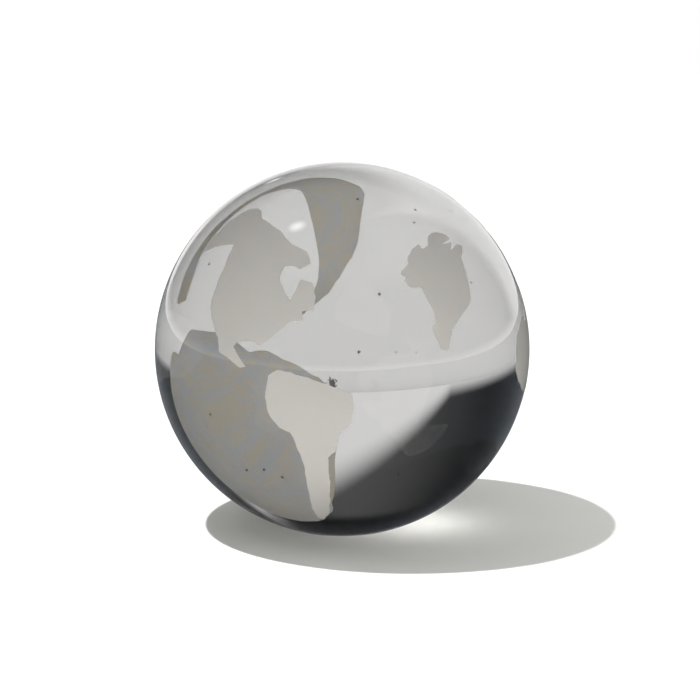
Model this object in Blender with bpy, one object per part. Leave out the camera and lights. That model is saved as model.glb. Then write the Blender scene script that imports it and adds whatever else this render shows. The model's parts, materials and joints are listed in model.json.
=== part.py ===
"""Solid glass globe for a desk, with its lands frosted into the surface.

The ball is one block of clear glass, ground flat underneath so that it stands
still.  The map of the world is sand-blasted into it: each land is a shallow
pocket with a matt layer lying in it.  Metres, +Z up.  The origin is the middle
of the ground flat.  The meridian of longitude 0 faces -Y, and the map's north
pole leans a little that way from straight up.
"""

import math

import bmesh
import bpy
from mathutils import Matrix, Vector

# Driving dimensions
BALL_RADIUS = 0.040
FLAT_RADIUS = 0.012
FROST_THICKNESS = 0.0004
CLEARANCE = 0.0003
MAP_LEAN = math.radians(4.0)
GLASS_IOR = 1.62

# How finely a round surface is divided, and how far the radial cutters reach
MERIDIANS = 64
PARALLELS = 32
CUTTER_OUTSIDE = 1.2
CUTTER_INSIDE = 0.3
SHARPEST_CORNER = 0.4

POCKET_FLOOR_RADIUS = BALL_RADIUS - FROST_THICKNESS - CLEARANCE
CENTRE = Vector((0.0, 0.0, math.sqrt(BALL_RADIUS**2 - FLAT_RADIUS**2)))

# The coast of each land as (latitude, longitude) in degrees on the ball.
COASTS = {
    "north_america": [
        (57.0, -52.0), (56.0, -47.0), (53.5, -43.0), (51.5, -33.5), (49.7, -27.5),
        (47.5, -24.0), (45.5, -19.0), (44.0, -14.0), (40.0, -11.5), (38.0, -15.5),
        (39.0, -18.0), (38.5, -21.5), (34.5, -22.0), (32.5, -20.5), (28.5, -17.0),
        (31.5, -15.5), (35.0, -14.5), (34.0, -10.0), (30.0, -8.5), (26.0, -8.7),
        (25.5, -12.5), (22.7, -12.0), (22.5, -15.5), (21.0, -17.5), (19.0, -20.0),
        (17.0, -22.0), (14.8, -25.0), (15.6, -27.0), (15.5, -30.0), (14.5, -33.0),
        (13.2, -34.0), (9.5, -30.5), (8.0, -29.0), (7.5, -31.0), (9.5, -35.0),
        (11.0, -39.0), (14.5, -40.0), (20.0, -44.5), (23.0, -46.5), (27.0, -47.0),
        (36.0, -47.0), (43.0, -48.5), (42.0, -53.5), (41.0, -57.0), (37.5, -64.0),
        (43.0, -64.5), (49.0, -63.0), (53.5, -60.0), (55.5, -58.0),
    ],
    "south_america": [
        (6.5, -21.5), (8.2, -19.0), (8.0, -15.0), (6.0, -8.0), (4.0, -2.0),
        (2.0, 3.0), (-2.0, 3.6), (-7.0, 3.0), (-10.0, -0.5), (-12.5, -1.0),
        (-16.0, -1.7), (-18.0, -4.0), (-24.0, -4.0), (-35.0, -4.0), (-43.0, -5.0),
        (-46.5, -7.5), (-46.0, -10.0), (-40.0, -11.5), (-28.0, -11.5), (-24.0, -11.7),
        (-20.0, -12.0), (-17.5, -12.5), (-15.0, -13.5), (-12.0, -14.2), (-10.5, -15.0),
        (-9.0, -18.5), (-5.0, -21.5), (0.0, -22.5),
    ],
    "greenland": [
        (48.0, 43.5), (47.8, 46.4), (46.6, 49.8), (44.7, 51.0), (43.5, 44.4),
        (43.5, 50.5), (40.9, 47.5), (42.6, 52.7), (41.4, 55.3), (39.0, 52.5),
        (38.3, 50.6), (32.8, 49.0), (28.0, 47.7), (25.0, 46.2), (23.6, 44.3),
        (19.0, 37.0), (15.6, 34.6), (12.5, 33.3), (12.8, 30.8), (16.6, 29.6),
        (19.2, 28.8), (21.0, 30.6), (24.0, 30.4), (27.0, 29.2), (31.4, 28.1),
        (31.8, 24.1), (34.0, 22.2), (34.9, 23.6), (35.6, 21.8), (36.9, 21.9),
        (38.0, 24.0), (39.0, 25.7), (41.1, 26.2), (43.5, 29.5), (45.0, 33.0),
        (43.2, 34.2), (44.0, 37.5), (47.0, 40.0),
    ],
    "africa": [
        (15.5, 84.5), (13.2, 82.6), (11.8, 79.0), (14.0, 74.8), (11.3, 69.7),
        (10.1, 67.1), (6.5, 65.4), (2.4, 64.8), (-1.2, 65.4), (-4.6, 68.0),
        (-7.9, 72.5), (-10.0, 77.0), (-10.5, 82.0), (-16.0, 84.5), (-24.0, 86.0),
        (-31.0, 88.0), (-37.0, 91.5), (-36.0, 96.0), (-30.0, 100.0), (-23.0, 104.0),
        (-16.0, 105.5), (-9.0, 107.0), (-3.0, 112.0), (2.0, 117.0), (4.0, 112.5),
        (9.0, 107.5), (15.0, 103.5), (19.0, 101.0), (18.0, 95.0), (20.0, 91.0),
        (18.0, 87.0),
    ],
    "eurasia": [
        (27.0, 98.0), (31.0, 97.0), (36.0, 98.0), (37.5, 102.0), (41.0, 101.0),
        (45.0, 106.0), (49.0, 108.0), (52.0, 107.0), (57.0, 111.0), (61.0, 119.0),
        (59.0, 126.0), (61.0, 134.0), (62.0, 146.0), (65.0, 158.0), (62.0, 172.0),
        (60.0, 186.0), (57.0, 201.0), (54.0, 214.0), (50.0, 212.0), (45.0, 210.0),
        (40.0, 209.0), (44.0, 204.0), (48.0, 199.0), (41.8, 194.9), (37.7, 191.4),
        (31.6, 192.4), (34.1, 188.4), (29.5, 189.9), (23.3, 188.3), (17.9, 184.8),
        (14.6, 181.4), (10.3, 184.2), (3.4, 182.9), (-3.0, 182.6), (-6.0, 182.3),
        (-7.4, 182.3), (-8.7, 182.3), (-9.9, 182.8), (-10.3, 183.7), (-10.7, 184.7),
        (-11.2, 185.7), (-11.5, 186.9), (-12.5, 187.8), (-13.2, 186.4), (-12.3, 184.8),
        (-11.8, 183.8), (-11.0, 182.9), (-10.3, 182.0), (-9.9, 181.4), (-9.0, 180.8),
        (-8.1, 180.1), (-7.1, 179.3), (-6.3, 178.9), (-5.4, 178.8), (-3.9, 178.8),
        (3.4, 177.5), (10.3, 174.9), (14.8, 171.4), (11.7, 167.6),
        (6.6, 164.5), (0.7, 162.0), (6.1, 157.4), (13.4, 153.1), (17.7, 147.4),
        (20.3, 141.3), (16.3, 138.8), (11.8, 136.3), (5.9, 130.3), (4.9, 124.7),
        (11.0, 120.5), (18.0, 115.5), (23.0, 113.5), (26.5, 115.0), (28.5, 110.0),
        (25.0, 108.5), (30.0, 105.5), (27.0, 104.0), (31.5, 101.5), (28.5, 100.0),
    ],
    "australia": [
        (-13.5, 190.3), (-13.6, 189.5), (-14.3, 189.1), (-15.1, 188.4), (-15.0, 187.1),
        (-15.8, 185.8), (-16.7, 184.0), (-17.6, 182.4), (-18.3, 181.6), (-20.4, 181.0),
        (-23.0, 180.7), (-26.0, 181.1), (-29.9, 183.2),
        (-29.4, 188.2), (-32.7, 193.3), (-36.8, 197.7), (-37.6, 201.7), (-33.3, 206.6),
        (-27.6, 209.6), (-21.7, 207.2), (-17.9, 202.7), (-14.2, 199.3), (-17.2, 196.3),
        (-16.6, 192.6),
    ],
    "madagascar": [
        (-13.5, 114.5), (-16.0, 116.0), (-21.0, 115.0), (-26.0, 113.0), (-26.5, 110.8),
        (-22.0, 110.2), (-17.5, 111.5),
    ],
    "japan": [
        (42.0, 200.5), (41.0, 203.5), (36.3, 201.4), (32.7, 198.3), (30.1, 195.8),
        (32.1, 194.8), (35.7, 197.4),
    ],
    "new_zealand": [
        (-34.3, 220.2), (-36.8, 223.9), (-40.8, 222.3), (-45.2, 217.8), (-46.1, 214.8),
        (-43.1, 215.2), (-39.3, 219.8),
    ],
}


def clear_scene():
    """Take everything out of the scene, so that the script starts from nothing."""
    for found in list(bpy.data.objects):
        bpy.data.objects.remove(found, do_unlink=True)


def new_collection(name):
    made = bpy.data.collections.new(name)
    bpy.context.scene.collection.children.link(made)
    return made


def principled(name, colour, roughness, transmission):
    """A plain material: a Principled shader with the finish of one sub-part."""
    made = bpy.data.materials.new(name)
    made.use_nodes = True
    shader = made.node_tree.nodes["Principled BSDF"]
    shader.inputs["Base Color"].default_value = (*colour, 1.0)
    shader.inputs["Roughness"].default_value = roughness
    shader.inputs["Metallic"].default_value = 0.0
    shader.inputs["Transmission Weight"].default_value = transmission
    shader.inputs["IOR"].default_value = GLASS_IOR
    made.diffuse_color = (*colour, 1.0)
    return made


def as_cutter(obj):
    """Keep a helper solid out of the finished object, and draw it as wires."""
    obj.hide_render = True
    obj.display_type = "WIRE"
    return obj


def sphere(name, radius, collection):
    """A closed round solid about the ball's centre, its poles on the Z axis."""
    bm = bmesh.new()
    bmesh.ops.create_uvsphere(
        bm, u_segments=MERIDIANS, v_segments=PARALLELS, radius=radius,
        matrix=Matrix.Translation(CENTRE),
    )
    mesh = bpy.data.meshes.new(name)
    bm.to_mesh(mesh)
    bm.free()
    obj = bpy.data.objects.new(name, mesh)
    collection.objects.link(obj)
    return obj


def direction(latitude, longitude):
    """The way from the ball's centre to a place on the map, as a unit vector."""
    up, round_axis = math.radians(latitude), math.radians(longitude)
    way = Vector((
        math.cos(up) * math.sin(round_axis),
        -math.cos(up) * math.cos(round_axis),
        math.sin(up),
    ))
    return Matrix.Rotation(MAP_LEAN, 3, "X") @ way


def widened(ways, margin):
    """The same outline with every side moved outwards over the ball by margin."""
    middle = sum(ways, Vector()).normalized()
    sides = [a.cross(b).normalized() for a, b in zip(ways, ways[1:] + ways[:1])]
    swept = sum((a.cross(b) for a, b in zip(ways, ways[1:] + ways[:1])), Vector())
    outwards = -math.copysign(1.0, swept.dot(middle))
    shift = math.sin(margin / BALL_RADIUS) * outwards
    moved = []
    for way, before, after in zip(ways, sides[-1:] + sides[:-1], sides):
        spread = max(1.0 + before.dot(after), SHARPEST_CORNER)
        moved.append((way + (before + after) * (shift / spread)).normalized())
    return moved


def radial_prism(name, coast, margin, collection):
    """A solid with a coast as its outline, whose sides all point at the centre."""
    ways = widened([direction(*place) for place in coast], margin)
    middle = sum(ways, Vector()).normalized()
    reach = BALL_RADIUS * CUTTER_OUTSIDE
    bm = bmesh.new()
    lid = bm.faces.new([bm.verts.new(way * (reach / way.dot(middle))) for way in ways])
    lid.normal_update()
    made = bmesh.ops.extrude_face_region(bm, geom=[lid], use_keep_orig=True)
    inner = [item for item in made["geom"] if isinstance(item, bmesh.types.BMVert)]
    bmesh.ops.scale(bm, vec=(CUTTER_INSIDE,) * 3, verts=inner)
    bmesh.ops.translate(bm, vec=CENTRE, verts=bm.verts)
    bmesh.ops.recalc_face_normals(bm, faces=bm.faces)
    mesh = bpy.data.meshes.new(name)
    bm.to_mesh(mesh)
    bm.free()
    obj = bpy.data.objects.new(name, mesh)
    collection.objects.link(obj)
    return obj


def boolean(obj, name, operation, other):
    """Cut an object by another object, or keep only what the two share."""
    cut = obj.modifiers.new(name, "BOOLEAN")
    cut.operation = operation
    cut.solver = "EXACT"
    cut.object = other


def smooth(obj):
    """Shade the round surface smooth and keep its cut edges crisp."""
    obj.data.shade_smooth()
    obj.data.set_sharp_from_angle(angle=math.radians(30.0))


def build_land(name, coast, parts, cutters, full_ball, frost_underside, pocket_floor):
    """A frosted layer, and the pocket cutter that gives it room in the glass."""
    land = radial_prism(name, coast, 0.0, parts)
    boolean(land, "outside", "INTERSECT", full_ball)
    boolean(land, "underside", "DIFFERENCE", frost_underside)
    land.data.materials.append(principled(name, (0.52, 0.50, 0.47), 0.75, 0.6))
    smooth(land)
    pocket = as_cutter(radial_prism(f"pocket_{name}", coast, CLEARANCE, cutters))
    boolean(pocket, "floor", "DIFFERENCE", pocket_floor)
    return pocket


def build_ball(parts, cutters, pockets):
    """The clear glass ball, ground flat underneath and cut with the pockets."""
    ball = sphere("glass_ball", BALL_RADIUS, parts)
    below = bmesh.new()
    bmesh.ops.create_cube(
        below, size=2 * BALL_RADIUS, matrix=Matrix.Translation((0.0, 0.0, -BALL_RADIUS))
    )
    mesh = bpy.data.meshes.new("base_grinder")
    below.to_mesh(mesh)
    below.free()
    grinder = as_cutter(bpy.data.objects.new("base_grinder", mesh))
    cutters.objects.link(grinder)
    boolean(ball, "ground_flat", "DIFFERENCE", grinder)
    for pocket in pockets:
        boolean(ball, pocket.name, "DIFFERENCE", pocket)
    ball.data.materials.append(principled("clear_glass", (0.80, 0.81, 0.80), 0.02, 1.0))
    smooth(ball)


def build():
    clear_scene()
    parts = new_collection("glass_globe")
    cutters = new_collection("cutters")
    full_ball = as_cutter(sphere("full_ball", BALL_RADIUS, cutters))
    frost_underside = as_cutter(
        sphere("frost_underside", BALL_RADIUS - FROST_THICKNESS, cutters)
    )
    pocket_floor = as_cutter(sphere("pocket_floor", POCKET_FLOOR_RADIUS, cutters))
    pockets = [
        build_land(name, coast, parts, cutters, full_ball, frost_underside, pocket_floor)
        for name, coast in COASTS.items()
    ]
    build_ball(parts, cutters, pockets)


build()
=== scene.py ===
# %% [markdown]
# # A glass globe paperweight
# The real object is one block of clear glass, turned and polished to a ball and ground flat
# underneath. The lands of a world map are sand-blasted into it, so they are matt where the
# seas are clear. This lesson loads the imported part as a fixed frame, stages it on a pale
# floor, and then makes the fine surface: a smooth ball, crisp coasts, and the two finishes.

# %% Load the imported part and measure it
import json
import math
import random

import bmesh
import bpy
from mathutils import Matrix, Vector

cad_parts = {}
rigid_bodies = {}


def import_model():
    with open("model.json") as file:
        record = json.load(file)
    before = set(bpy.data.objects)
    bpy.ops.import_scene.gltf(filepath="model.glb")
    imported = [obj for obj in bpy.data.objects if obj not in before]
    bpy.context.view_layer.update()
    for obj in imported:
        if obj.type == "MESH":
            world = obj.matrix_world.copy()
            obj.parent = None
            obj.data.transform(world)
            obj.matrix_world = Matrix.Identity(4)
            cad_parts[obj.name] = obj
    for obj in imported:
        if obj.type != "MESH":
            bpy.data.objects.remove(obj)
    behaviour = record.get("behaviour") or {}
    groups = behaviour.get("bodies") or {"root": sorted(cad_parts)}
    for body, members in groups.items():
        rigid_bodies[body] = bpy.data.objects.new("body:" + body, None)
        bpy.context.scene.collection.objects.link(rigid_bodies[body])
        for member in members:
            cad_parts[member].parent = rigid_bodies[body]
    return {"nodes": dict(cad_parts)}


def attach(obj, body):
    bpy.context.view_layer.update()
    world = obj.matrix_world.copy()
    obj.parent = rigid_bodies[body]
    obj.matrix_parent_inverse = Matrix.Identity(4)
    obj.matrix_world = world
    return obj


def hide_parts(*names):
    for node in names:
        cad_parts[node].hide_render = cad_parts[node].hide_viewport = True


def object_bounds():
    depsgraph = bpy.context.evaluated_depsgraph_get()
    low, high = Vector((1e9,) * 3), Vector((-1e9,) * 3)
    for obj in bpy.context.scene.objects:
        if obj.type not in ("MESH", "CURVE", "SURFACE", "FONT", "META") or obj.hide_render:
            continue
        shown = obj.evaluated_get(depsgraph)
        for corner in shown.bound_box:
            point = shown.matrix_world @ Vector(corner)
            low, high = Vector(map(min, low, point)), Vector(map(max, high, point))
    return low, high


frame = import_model()
cad_low, cad_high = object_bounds()
ball_radius = (cad_high.x - cad_low.x) / 2
centre = Vector((0.0, 0.0, cad_high.z - ball_radius))
flat_radius = math.sqrt(ball_radius**2 - (centre.z - cad_low.z) ** 2)
print(f"ball {ball_radius * 2000:.1f} mm across, flat {flat_radius * 2000:.1f} mm across")

# %% [markdown]
# ## Camera
# The ball is looked at from a little above with a long lens, which keeps it round. The lens
# is worked out from how much of the frame the ball should fill.

# %% Aim a long lens at the ball
CAMERA_ELEVATION = math.radians(11.0)
CAMERA_DISTANCE = 14.0 * ball_radius
BALL_SHARE_OF_WIDTH = 0.535
AIM_OFFSET = Vector((0.043, 0.0, -0.005)) * ball_radius

back_of_view = Vector((0.0, -math.cos(CAMERA_ELEVATION), math.sin(CAMERA_ELEVATION)))
camera_data = bpy.data.cameras.new("camera")
camera = bpy.data.objects.new("camera", camera_data)
bpy.context.scene.collection.objects.link(camera)
ball_half_angle = math.asin(ball_radius / CAMERA_DISTANCE)
frame_half_width = math.tan(ball_half_angle) / BALL_SHARE_OF_WIDTH
camera_data.sensor_width = 36.0
camera_data.lens = camera_data.sensor_width / 2 / frame_half_width
camera.location = centre + AIM_OFFSET + back_of_view * CAMERA_DISTANCE
camera.rotation_euler = (-back_of_view).to_track_quat("-Z", "Y").to_euler()
camera_data.clip_start, camera_data.clip_end = 0.01, 100.0
bpy.context.scene.camera = camera
print(f"camera with a {camera_data.lens:.0f} mm lens")


# %% [markdown]
# ## Small helpers
# An operator acts on whatever is selected, so each step first selects only its own object.

# %% Helpers for operators and node trees
def select_only(*objects):
    """Select these objects, with the first one active, and nothing else."""
    for other in bpy.context.view_layer.objects:
        other.select_set(False)
    for obj in objects:
        obj.select_set(True)
    bpy.context.view_layer.objects.active = objects[0]


def apply_all(obj):
    """Apply every modifier of an object, in order."""
    select_only(obj)
    for modifier in list(obj.modifiers):
        bpy.ops.object.modifier_apply(modifier=modifier.name)


def mix_colours(nodes, links, factor, first, second):
    """A Mix node for colours. Each input is a colour, a number or another node's output."""
    node = nodes.new("ShaderNodeMix")
    node.data_type = "RGBA"
    for socket, given in zip((node.inputs[0], node.inputs[6], node.inputs[7]), (factor, first, second)):
        if isinstance(given, (int, float)):
            socket.default_value = given
        elif isinstance(given, tuple):
            socket.default_value = (*given, 1.0)
        else:
            links.new(given, socket)
    return node.outputs[2]


def value_node(nodes, links, operation, *inputs):
    """A Math node whose inputs are numbers or the outputs of other nodes."""
    node = nodes.new("ShaderNodeMath")
    node.operation = operation
    for socket, given in zip(node.inputs, inputs):
        if isinstance(given, (int, float)):
            socket.default_value = given
        else:
            links.new(given, socket)
    return node.outputs[0]


def new_material(name):
    """A material with its node tree, its Principled shader and its links."""
    made = bpy.data.materials.new(name)
    made.use_nodes = True
    nodes = made.node_tree.nodes
    return made, nodes, made.node_tree.links, nodes["Principled BSDF"]


# %% [markdown]
# ## Floor and light
# The glass has no colour of its own: what is seen in it is its surroundings, bent upside
# down. So they are built as a small studio. A white floor fills the lower half, a soft white
# sweep rises behind the ball, and above it the room is dark. One small lamp, high on the
# left, gives the shadow. The light is arranged for its look and isn't physically exact: the
# floor and the room are given other values where they are mirrored or seen through the glass.

# %% Lay the floor
PAPER_LIGHT, PAPER_DEEP, PAPER_ROUGHNESS = (0.83, 0.835, 0.80), (0.81, 0.815, 0.785), 0.9
FLOOR_IN_THE_POLISH = (0.075, 0.085, 0.10)
FLOOR_THROUGH_GLASS = (0.67, 0.672, 0.665)
FIBRES_PER_METRE = 900.0
FLOOR_HALF_WIDTH = 1.1
bpy.ops.mesh.primitive_plane_add(size=2 * FLOOR_HALF_WIDTH, location=(0.0, 0.0, cad_low.z))
floor = bpy.context.object
floor.name = "floor"
floor_material, nodes, links, shader = new_material("pale_floor")
shader.inputs["Roughness"].default_value = PAPER_ROUGHNESS
shader.inputs["Specular IOR Level"].default_value = 0.0
fibres = nodes.new("ShaderNodeTexNoise")
fibres.inputs["Scale"].default_value = FIBRES_PER_METRE
paper = mix_colours(nodes, links, fibres.outputs["Fac"], PAPER_LIGHT, PAPER_DEEP)
path = nodes.new("ShaderNodeLightPath")
in_the_polish = value_node(
    nodes, links, "MULTIPLY", path.outputs["Is Glossy Ray"], path.outputs["Is Reflection Ray"])
refracted = mix_colours(nodes, links, path.outputs["Is Transmission Ray"], paper, FLOOR_THROUGH_GLASS)
mirrored = mix_colours(nodes, links, in_the_polish, refracted, FLOOR_IN_THE_POLISH)
links.new(mirrored, shader.inputs["Base Color"])
floor.data.materials.append(floor_material)
print(f"floor {2 * FLOOR_HALF_WIDTH:.1f} m wide")

# %% Light it with one small high lamp
LAMP_AZIMUTH, LAMP_ELEVATION = math.radians(-92.0), math.radians(69.5)
LAMP_DISTANCE, LAMP_ENERGY, LAMP_RADIUS = 1.0, 41.0, 0.012
LAMP_CONE, LAMP_CONE_BLEND = math.radians(150.0), 0.1
towards_lamp = Vector((
    math.sin(LAMP_AZIMUTH) * math.cos(LAMP_ELEVATION),
    math.cos(LAMP_AZIMUTH) * math.cos(LAMP_ELEVATION),
    math.sin(LAMP_ELEVATION),
))
lamp_data = bpy.data.lights.new("lamp", "SPOT")
lamp_data.energy, lamp_data.shadow_soft_size = LAMP_ENERGY, LAMP_RADIUS
lamp_data.spot_size, lamp_data.spot_blend = LAMP_CONE, LAMP_CONE_BLEND
lamp = bpy.data.objects.new("lamp", lamp_data)
lamp.location = centre + towards_lamp * LAMP_DISTANCE
lamp.rotation_euler = (-towards_lamp).to_track_quat("-Z", "Y").to_euler()
bpy.context.scene.collection.objects.link(lamp)
lamp.visible_glossy = False
lamp_data.use_nodes = True
nodes, links = lamp_data.node_tree.nodes, lamp_data.node_tree.links
falloff = nodes.new("ShaderNodeLightFalloff")
falloff.inputs["Strength"].default_value = 1.0
links.new(falloff.outputs["Constant"], nodes["Emission"].inputs["Strength"])
print(f"lamp {LAMP_DISTANCE:.1f} m from the ball")


# %% Put the dark room and the white sweep round it
CARD_SLOPE, CARD_TOP_BEHIND, CARD_RIGHT_END = 0.82, 22.5, 45.0
CARD_BRIGHTNESS, ROOM_BRIGHTNESS = 1.24, 0.004
GLOW_BRIGHTNESS, GLOW_HALF_WIDTH, GLOW_TOP = 0.13, 50.0, 48.0
GLOW_FADE_BELOW, GLOW_FADE_ABOVE = 6.0, 3.0
EDGE_BLUR, EDGE_BLUR_GROWTH, SIDE_BLUR = math.radians(2.5), 0.30, math.radians(8.0)
SKY_AT_HORIZON, SKY_OVERHEAD, SCATTERED_EXTRA = 0.56, 0.28, 1.15
DEEPEST_CLEAR_PATH = 3.5
world = bpy.data.worlds.new("studio")
world.use_nodes = True
bpy.context.scene.world = world
nodes, links = world.node_tree.nodes, world.node_tree.links
background = nodes["Background"]
background.inputs["Color"].default_value = (1.0, 1.0, 1.0, 1.0)
place = nodes.new("ShaderNodeTexCoord")
split = nodes.new("ShaderNodeSeparateXYZ")
links.new(place.outputs["Generated"], split.inputs[0])
east, north, height = split.outputs


def world_value(operation, *inputs):
    """One step of arithmetic in the world's node tree."""
    return value_node(nodes, links, operation, *inputs)


def faded(value, start, end, at_start, at_end):
    """A smooth step from one brightness to another."""
    node = nodes.new("ShaderNodeMapRange")
    node.interpolation_type = "SMOOTHSTEP"
    for socket, given in zip(node.inputs, (value, start, end, at_start, at_end)):
        if isinstance(given, (int, float)):
            socket.default_value = given
        else:
            links.new(given, socket)
    return node.outputs["Result"]


elevation = world_value("ARCSINE", height)
azimuth = world_value("ARCTAN2", east, north)
# the card's top edge climbs from the horizon on the left to high on the right
edge = world_value("MULTIPLY_ADD", azimuth, CARD_SLOPE, math.radians(CARD_TOP_BEHIND))
edge = world_value("MAXIMUM", edge, 0.0)
blur = world_value("MULTIPLY_ADD", edge, EDGE_BLUR_GROWTH, EDGE_BLUR)
over_card = world_value("DIVIDE", world_value("SUBTRACT", elevation, edge), blur)
over_floor = world_value("DIVIDE", elevation, EDGE_BLUR)
beside_card = world_value("SUBTRACT", azimuth, math.radians(CARD_RIGHT_END))
beside_card = world_value("DIVIDE", beside_card, SIDE_BLUR)
outside = world_value("MAXIMUM", over_card, world_value("MINIMUM", beside_card, over_floor))
# behind the card the room glows a little, and further off it is black
sideways = world_value("ABSOLUTE", azimuth)
glow = faded(sideways, 0.0, math.radians(GLOW_HALF_WIDTH), GLOW_BRIGHTNESS, 0.0)
glow_height = faded(elevation, math.radians(GLOW_TOP - GLOW_FADE_BELOW),
                    math.radians(GLOW_TOP + GLOW_FADE_ABOVE), 1.0, 0.0)
room = world_value("MULTIPLY_ADD", glow, glow_height, ROOM_BRIGHTNESS)
sharp = faded(outside, -1.0, 1.0, CARD_BRIGHTNESS, room)
print("world: a dark room above a white sweep")

# %% Add the soft lamp patch that the polish mirrors, and the even light on matt faces
# azimuth, elevation and radius in degrees, then brightness
MIRRORED = ((-73.0, 69.0, 5.5, 5.0), (-12.0, 18.0, 2.0, 3.0), (86.0, -17.0, 2.0, 6.0))
path = nodes.new("ShaderNodeLightPath")
mirrored = 0.0
for patch_azimuth, patch_elevation, radius, brightness in MIRRORED:
    across, up = math.radians(patch_azimuth), math.radians(patch_elevation)
    towards = nodes.new("ShaderNodeVectorMath")
    towards.operation = "DOT_PRODUCT"
    links.new(place.outputs["Generated"], towards.inputs[0])
    towards.inputs[1].default_value = (
        math.sin(across) * math.cos(up), math.cos(across) * math.cos(up), math.sin(up))
    off_axis = world_value("ARCCOSINE", world_value("MINIMUM", towards.outputs["Value"], 1.0))
    patch = faded(off_axis, 0.0, math.radians(radius), brightness, 0.0)
    mirrored = world_value("ADD", patch, mirrored)
in_the_polish = world_value("MULTIPLY", path.outputs["Is Glossy Ray"], path.outputs["Is Reflection Ray"])
sharp = world_value("MULTIPLY_ADD", mirrored, in_the_polish, sharp)
even = world_value("MULTIPLY_ADD", world_value("MAXIMUM", height, 0.0), SKY_OVERHEAD, SKY_AT_HORIZON)
bent = world_value("MAXIMUM", path.outputs["Is Transmission Ray"], path.outputs["Is Glossy Ray"])
clear_path = world_value("LESS_THAN", path.outputs["Transmission Depth"], DEEPEST_CLEAR_PATH)
scattered = world_value("MULTIPLY_ADD", path.outputs["Is Transmission Ray"], SCATTERED_EXTRA, 1.0)
even = world_value("MULTIPLY", even, scattered)
seen = nodes.new("ShaderNodeMix")
seen.data_type = "FLOAT"
links.new(world_value("MULTIPLY", bent, clear_path), seen.inputs["Factor"])
links.new(even, seen.inputs["A"])
links.new(sharp, seen.inputs["B"])
direct = world_value("MAXIMUM", seen.outputs["Result"], path.outputs["Is Camera Ray"])
links.new(direct, background.inputs["Strength"])
bpy.context.scene.view_settings.view_transform = "Standard"
print(f"studio: {len(MIRRORED)} patches in the polish, even light on matt faces")

# %% [markdown]
# ## The coasts
# On the real ball a stencil is laid on the glass and sand is blown at it. The coast is the
# stencil's edge: mostly smooth, with small nicks where the film tore. Each packed land
# already has the right outline, so its coast is read from a merged copy of it, given small
# nicks, and turned into a solid whose walls all point at the ball's centre.

# %% Read a land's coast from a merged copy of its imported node
LANDS = ("north_america", "south_america", "greenland", "africa", "eurasia",
         "australia", "madagascar", "japan", "new_zealand")


MERGE_SHARE, OUTWARD_ENOUGH = 1e-4, 0.7


def faces_out(face):
    """True for a face of the ball's own surface, not a wall or the underside of a land."""
    return face.normal.dot((face.calc_center_median() - centre).normalized()) > OUTWARD_ENOUGH


def coast_of(node_name):
    """The outline of a packed land, as unit vectors from the ball's centre, in order."""
    mesh = bmesh.new()
    mesh.from_mesh(frame["nodes"][node_name].data)
    bmesh.ops.remove_doubles(mesh, verts=mesh.verts, dist=ball_radius * MERGE_SHARE)
    outer = {face for face in mesh.faces if faces_out(face)}
    border = [edge for edge in mesh.edges if sum(face in outer for face in edge.link_faces) == 1]
    neighbours = {}
    for edge in border:
        first, second = edge.verts
        neighbours.setdefault(first, []).append(second)
        neighbours.setdefault(second, []).append(first)
    start = border[0].verts[0]
    ordered, previous, current = [], None, start
    while current is not start or previous is None:
        ordered.append((current.co - centre).normalized())
        onward = [vert for vert in neighbours[current] if vert is not previous]
        previous, current = current, onward[0]
    mesh.free()
    return ordered


# %% Give the coasts their small nicks and soften their corners
NICK_SHARE = 0.07
SHORTEST_STRETCH = 0.0005
CORNER_CUT = 0.16
MOST_HALVINGS = 5


def nicked(ways, seed, nick_share):
    """Halve the long stretches again and again, and push each new point a little aside."""
    draws = random.Random(seed)
    shortest = SHORTEST_STRETCH / ball_radius
    for _ in range(MOST_HALVINGS):
        made = []
        for way, following in zip(ways, ways[1:] + ways[:1]):
            made.append(way)
            stretch = (following - way).length
            if stretch > shortest:
                aside = way.cross(following).normalized()
                push = draws.uniform(-nick_share, nick_share) * stretch
                made.append(((way + following) / 2 + aside * push).normalized())
        ways = made
    return ways


def softened(ways):
    """Cut every corner of an outline once."""
    made = []
    for way, following in zip(ways, ways[1:] + ways[:1]):
        made.append(way.lerp(following, CORNER_CUT).normalized())
        made.append(way.lerp(following, 1.0 - CORNER_CUT).normalized())
    return made


# %% Turn a coast into a cutter with walls that point at the centre
CUTTER_OUTSIDE, CUTTER_INSIDE = 1.2, 0.3


def stencil_cutter(name, ways):
    """A flat lid outside the ball with the coast as its outline, drawn in to the centre."""
    middle = sum(ways, Vector()).normalized()
    reach = ball_radius * CUTTER_OUTSIDE
    mesh = bpy.data.meshes.new(name)
    corners = [centre + way * (reach / way.dot(middle)) for way in ways]
    mesh.from_pydata(corners, [], [range(len(corners))])
    obj = bpy.data.objects.new(name, mesh)
    bpy.context.scene.collection.objects.link(obj)
    select_only(obj)
    bpy.ops.object.mode_set(mode="EDIT")
    bpy.ops.mesh.select_all(action="SELECT")
    bpy.ops.mesh.extrude_region_move()
    bpy.ops.transform.resize(value=(CUTTER_INSIDE,) * 3, center_override=centre)
    bpy.ops.mesh.select_all(action="SELECT")
    bpy.ops.mesh.normals_make_consistent(inside=False)
    bpy.ops.object.mode_set(mode="OBJECT")
    return obj


# %% [markdown]
# ## The glass ball and the frosted lands
# The ball is turned, so it starts as a finely divided round primitive. It is bisected along
# the ground and the sharp rim of the cut is bevelled, as a grinder breaks the edge. On the
# real ball the lands are blasted into the glass. Here each land is a very thin skin held just
# clear of the polish, because a pocket cut into it would leave marks in the clear glass.

# %% Turn a ball, grind it flat and break the rim
MERIDIANS, PARALLELS = 256, 128
RIM_BEVEL, RIM_SEGMENTS = 0.0004, 3
CRISP_ANGLE = math.radians(30.0)


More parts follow.
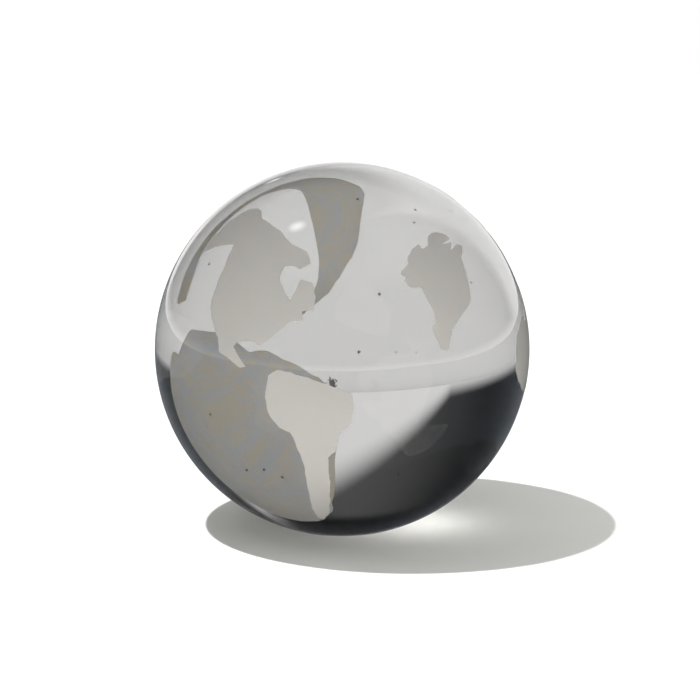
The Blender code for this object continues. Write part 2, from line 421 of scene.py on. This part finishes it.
def turned_ball(name, radius):
    """A closed round solid about the ball's centre."""
    bpy.ops.object.select_all(action="DESELECT")
    bpy.ops.mesh.primitive_uv_sphere_add(
        segments=MERIDIANS, ring_count=PARALLELS, radius=radius, location=centre)
    obj = bpy.context.object
    obj.name = name
    bpy.ops.object.transform_apply(location=True, rotation=False, scale=False)
    return obj


def grind_flat(obj):
    """Cut away what lies below the floor, close the cut and bevel its rim."""
    select_only(obj)
    bpy.ops.object.mode_set(mode="EDIT")
    bpy.ops.mesh.select_all(action="SELECT")
    bpy.ops.mesh.bisect(
        plane_co=(0.0, 0.0, cad_low.z), plane_no=(0.0, 0.0, -1.0), use_fill=True, clear_outer=True)
    bpy.ops.mesh.bevel(offset=RIM_BEVEL, segments=RIM_SEGMENTS, affect="EDGES")
    bpy.ops.object.mode_set(mode="OBJECT")


def cut(obj, operation, other):
    """Apply one exact Boolean."""
    modifier = obj.modifiers.new(operation.lower(), "BOOLEAN")
    modifier.operation, modifier.solver, modifier.object = operation, "EXACT", other
    apply_all(obj)


def smoothed(obj):
    """Shade the round surface smooth and keep the cut edges crisp."""
    select_only(obj)
    bpy.ops.object.shade_smooth_by_angle(angle=CRISP_ANGLE)


FROST_SKIN, FROST_GAP = 0.00008, 0.00002
ball = turned_ball("clear_ball", ball_radius)
grind_flat(ball)
print(f"clear ball: {len(ball.data.polygons)} faces")

# %% Make each land's skin
skin_outside = turned_ball("skin_outside", ball_radius + FROST_GAP + FROST_SKIN)
skin_inside = turned_ball("skin_inside", ball_radius + FROST_GAP)
skins = {}
for count, land_name in enumerate(LANDS):
    plain = coast_of(land_name)
    for nick_share in (NICK_SHARE, NICK_SHARE / 2, NICK_SHARE / 4, 0.0):
        coast = softened(nicked(plain, count, nick_share))
        skin = stencil_cutter(f"frosted_{land_name}", coast)
        cut(skin, "INTERSECT", skin_outside)
        cut(skin, "DIFFERENCE", skin_inside)
        if skin.data.polygons:
            break
        print(f"{land_name}: a nick crossed the coast, so it is drawn again with finer nicks")
        bpy.data.objects.remove(skin)
    smoothed(skin)
    skins[land_name] = skin
    print(f"{land_name}: {len(coast)} coast points, {len(skin.data.polygons)} faces")
for helper in (skin_outside, skin_inside):
    bpy.data.objects.remove(helper)
smoothed(ball)

# %% [markdown]
# ## The two finishes
# Both finishes are the same heavy glass, so they share its refractive index. The polish is
# clear, with a little dust and a few specks. The blasted faces are matt: a fine grain breaks
# the light up. Each effect is a node group that works on object coordinates. The frost also
# carries painted light: painted shade where the camera sees it edge-on, and a brighter warm
# and cool copy of its colour wherever it is not seen straight from the camera.

# %% A node group for specks of dust
def new_group(name, outputs):
    """An empty shader node group that takes object coordinates and gives values or colours."""
    made = bpy.data.node_groups.new(name, "ShaderNodeTree")
    made.interface.new_socket("Vector", in_out="INPUT", socket_type="NodeSocketVector")
    for socket_name, socket_type in outputs:
        made.interface.new_socket(socket_name, in_out="OUTPUT", socket_type=socket_type)
    return made, made.nodes.new("NodeGroupInput"), made.nodes.new("NodeGroupOutput")


def noise_in(group, inlet, scale, detail):
    """Noise inside a group, at so many waves per metre."""
    node = group.nodes.new("ShaderNodeTexNoise")
    node.inputs["Scale"].default_value = scale
    node.inputs["Detail"].default_value = detail
    group.links.new(inlet.outputs["Vector"], node.inputs["Vector"])
    return node.outputs["Fac"]


DUST_SCALE, DUST_RADIUS, SMUDGE_SCALE = 260.0, 0.08, 60.0
RAGGED_SCALE, RAGGED_DEPTH, SPECK_RARITY = 6000.0, 0.24, 0.80
dust, inlet, outlet = new_group("dust", (("Speck", "NodeSocketFloat"), ("Smudge", "NodeSocketFloat")))
grains = dust.nodes.new("ShaderNodeTexVoronoi")
grains.inputs["Scale"].default_value = DUST_SCALE
dust.links.new(inlet.outputs["Vector"], grains.inputs["Vector"])
ragged = noise_in(dust, inlet, RAGGED_SCALE, 2.0)
ragged = value_node(dust.nodes, dust.links, "MULTIPLY_ADD", ragged, RAGGED_DEPTH, -RAGGED_DEPTH / 2)
reach = value_node(dust.nodes, dust.links, "ADD", grains.outputs["Distance"], ragged)
near = value_node(dust.nodes, dust.links, "LESS_THAN", reach, DUST_RADIUS)
chosen = dust.nodes.new("ShaderNodeSeparateColor")
dust.links.new(grains.outputs["Color"], chosen.inputs[0])
rare = value_node(dust.nodes, dust.links, "GREATER_THAN", chosen.outputs[0], SPECK_RARITY)
dust.links.new(value_node(dust.nodes, dust.links, "MULTIPLY", near, rare), outlet.inputs["Speck"])
dust.links.new(noise_in(dust, inlet, SMUDGE_SCALE, 3.0), outlet.inputs["Smudge"])
print(f"node group {dust.name}: {len(dust.nodes)} nodes")

# %% A node group for the blasted grain
GRAIN_SCALE, MOTTLE_SCALE = 4500.0, 2600.0
grain, inlet, outlet = new_group("grain", (("Height", "NodeSocketFloat"), ("Mottle", "NodeSocketFloat")))
grain.links.new(noise_in(grain, inlet, GRAIN_SCALE, 2.0), outlet.inputs["Height"])
grain.links.new(noise_in(grain, inlet, MOTTLE_SCALE, 4.0), outlet.inputs["Mottle"])
print(f"node group {grain.name}: {len(grain.nodes)} nodes")


def use_group(nodes, links, group):
    """Put a group into a material and feed it object coordinates."""
    node = nodes.new("ShaderNodeGroup")
    node.node_tree = group
    coordinates = nodes.new("ShaderNodeTexCoord")
    links.new(coordinates.outputs["Object"], node.inputs["Vector"])
    return node


# %% Clear glass
GLASS_IOR = 1.62
CLEAR_TINT, SPECK_TINT = (0.55, 0.545, 0.54), (0.02, 0.02, 0.02)
SMUDGE_ROUGHNESS, SMUDGE_START = 0.02, 0.008
glass, nodes, links, shader = new_material("clear_glass")
marks = use_group(nodes, links, dust)
specked = mix_colours(nodes, links, marks.outputs["Speck"], CLEAR_TINT, SPECK_TINT)
links.new(specked, shader.inputs["Base Color"])
smeared = value_node(
    nodes, links, "MULTIPLY_ADD", marks.outputs["Smudge"], SMUDGE_ROUGHNESS, -SMUDGE_START)
links.new(value_node(nodes, links, "MAXIMUM", smeared, 0.0), shader.inputs["Roughness"])
shader.inputs["IOR"].default_value = GLASS_IOR
shader.inputs["Transmission Weight"].default_value = 1.0
ball.data.materials.clear()
ball.data.materials.append(glass)
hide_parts("glass_ball")
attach(ball, "root")
print(f"{ball.name} in {glass.name}")

# %% Frosted glass
FROST_LIGHT, FROST_DEEP = (0.83, 0.805, 0.785), (0.79, 0.765, 0.74)
# painted light: a brighter copy of the frost's colour, warm and cool in patches, seen through the glass
FROST_PAINTED_LIT_WARM, FROST_PAINTED_LIT_COOL = (1.0, 0.94, 0.80), (0.92, 0.95, 1.0)
# painted shade: the near-black colour the frost takes where the camera sees it edge-on
FROST_PAINTED_SHADE_AT_GRAZING = (0.06, 0.06, 0.055)
TINT_START, TINT_END = 0.42, 0.58
GRAZING_BLEND, GRAZING_POWER = 0.35, 1.3
MATT_ROUGHNESS, MATT_VARIATION, SEE_THROUGH_SHARE = 0.78, 0.15, 0.6
PIT_STRENGTH, PIT_DEPTH = 0.25, 0.00005
frost, nodes, links, shader = new_material("frosted_glass")
marks = use_group(nodes, links, grain)
front = mix_colours(nodes, links, marks.outputs["Mottle"], FROST_LIGHT, FROST_DEEP)
warmth = nodes.new("ShaderNodeMapRange")
links.new(marks.outputs["Mottle"], warmth.inputs["Value"])
warmth.inputs["From Min"].default_value = TINT_START
warmth.inputs["From Max"].default_value = TINT_END
# painted light: the brighter warm and cool copy, patched by the grain's mottle
painted_lit_copy = mix_colours(nodes, links, warmth.outputs["Result"], FROST_PAINTED_LIT_WARM, FROST_PAINTED_LIT_COOL)
path = nodes.new("ShaderNodeLightPath")
# the camera sees the frost's own colour; every other ray, as through the glass, sees the painted lit
# copy
base = mix_colours(nodes, links, path.outputs["Is Camera Ray"], painted_lit_copy, front)
# painted shade: for camera rays only, the frost darkens towards the faces it shows edge-on
slant = nodes.new("ShaderNodeLayerWeight")
slant.inputs["Blend"].default_value = GRAZING_BLEND
painted_grazing_shade = value_node(nodes, links, "MULTIPLY", path.outputs["Is Camera Ray"],
                     value_node(nodes, links, "POWER", slant.outputs["Facing"], GRAZING_POWER))
links.new(mix_colours(nodes, links, painted_grazing_shade, base, FROST_PAINTED_SHADE_AT_GRAZING), shader.inputs["Base Color"])
roughened = value_node(
    nodes, links, "MULTIPLY_ADD", marks.outputs["Height"], MATT_VARIATION, MATT_ROUGHNESS)
links.new(roughened, shader.inputs["Roughness"])
pits = nodes.new("ShaderNodeBump")
pits.inputs["Strength"].default_value = PIT_STRENGTH
pits.inputs["Distance"].default_value = PIT_DEPTH
links.new(marks.outputs["Height"], pits.inputs["Height"])
links.new(pits.outputs["Normal"], shader.inputs["Normal"])
shader.inputs["IOR"].default_value = GLASS_IOR
shader.inputs["Transmission Weight"].default_value = SEE_THROUGH_SHARE
for land_name, skin in skins.items():
    skin.data.materials.clear()
    skin.data.materials.append(frost)
    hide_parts(land_name)
    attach(skin, "root")
print(f"{len(skins)} frosted lands on {ball.name}")

# %% Keep the lamp's direct light off the frosting
lit = bpy.data.collections.new("lit_by_the_lamp")
for obj in (ball, floor):
    lit.objects.link(obj)
lamp.light_linking.receiver_collection = lit

# %% Give the light enough bounces through the glass
bpy.context.scene.cycles.transmission_bounces = 24
bpy.context.scene.cycles.max_bounces = 32
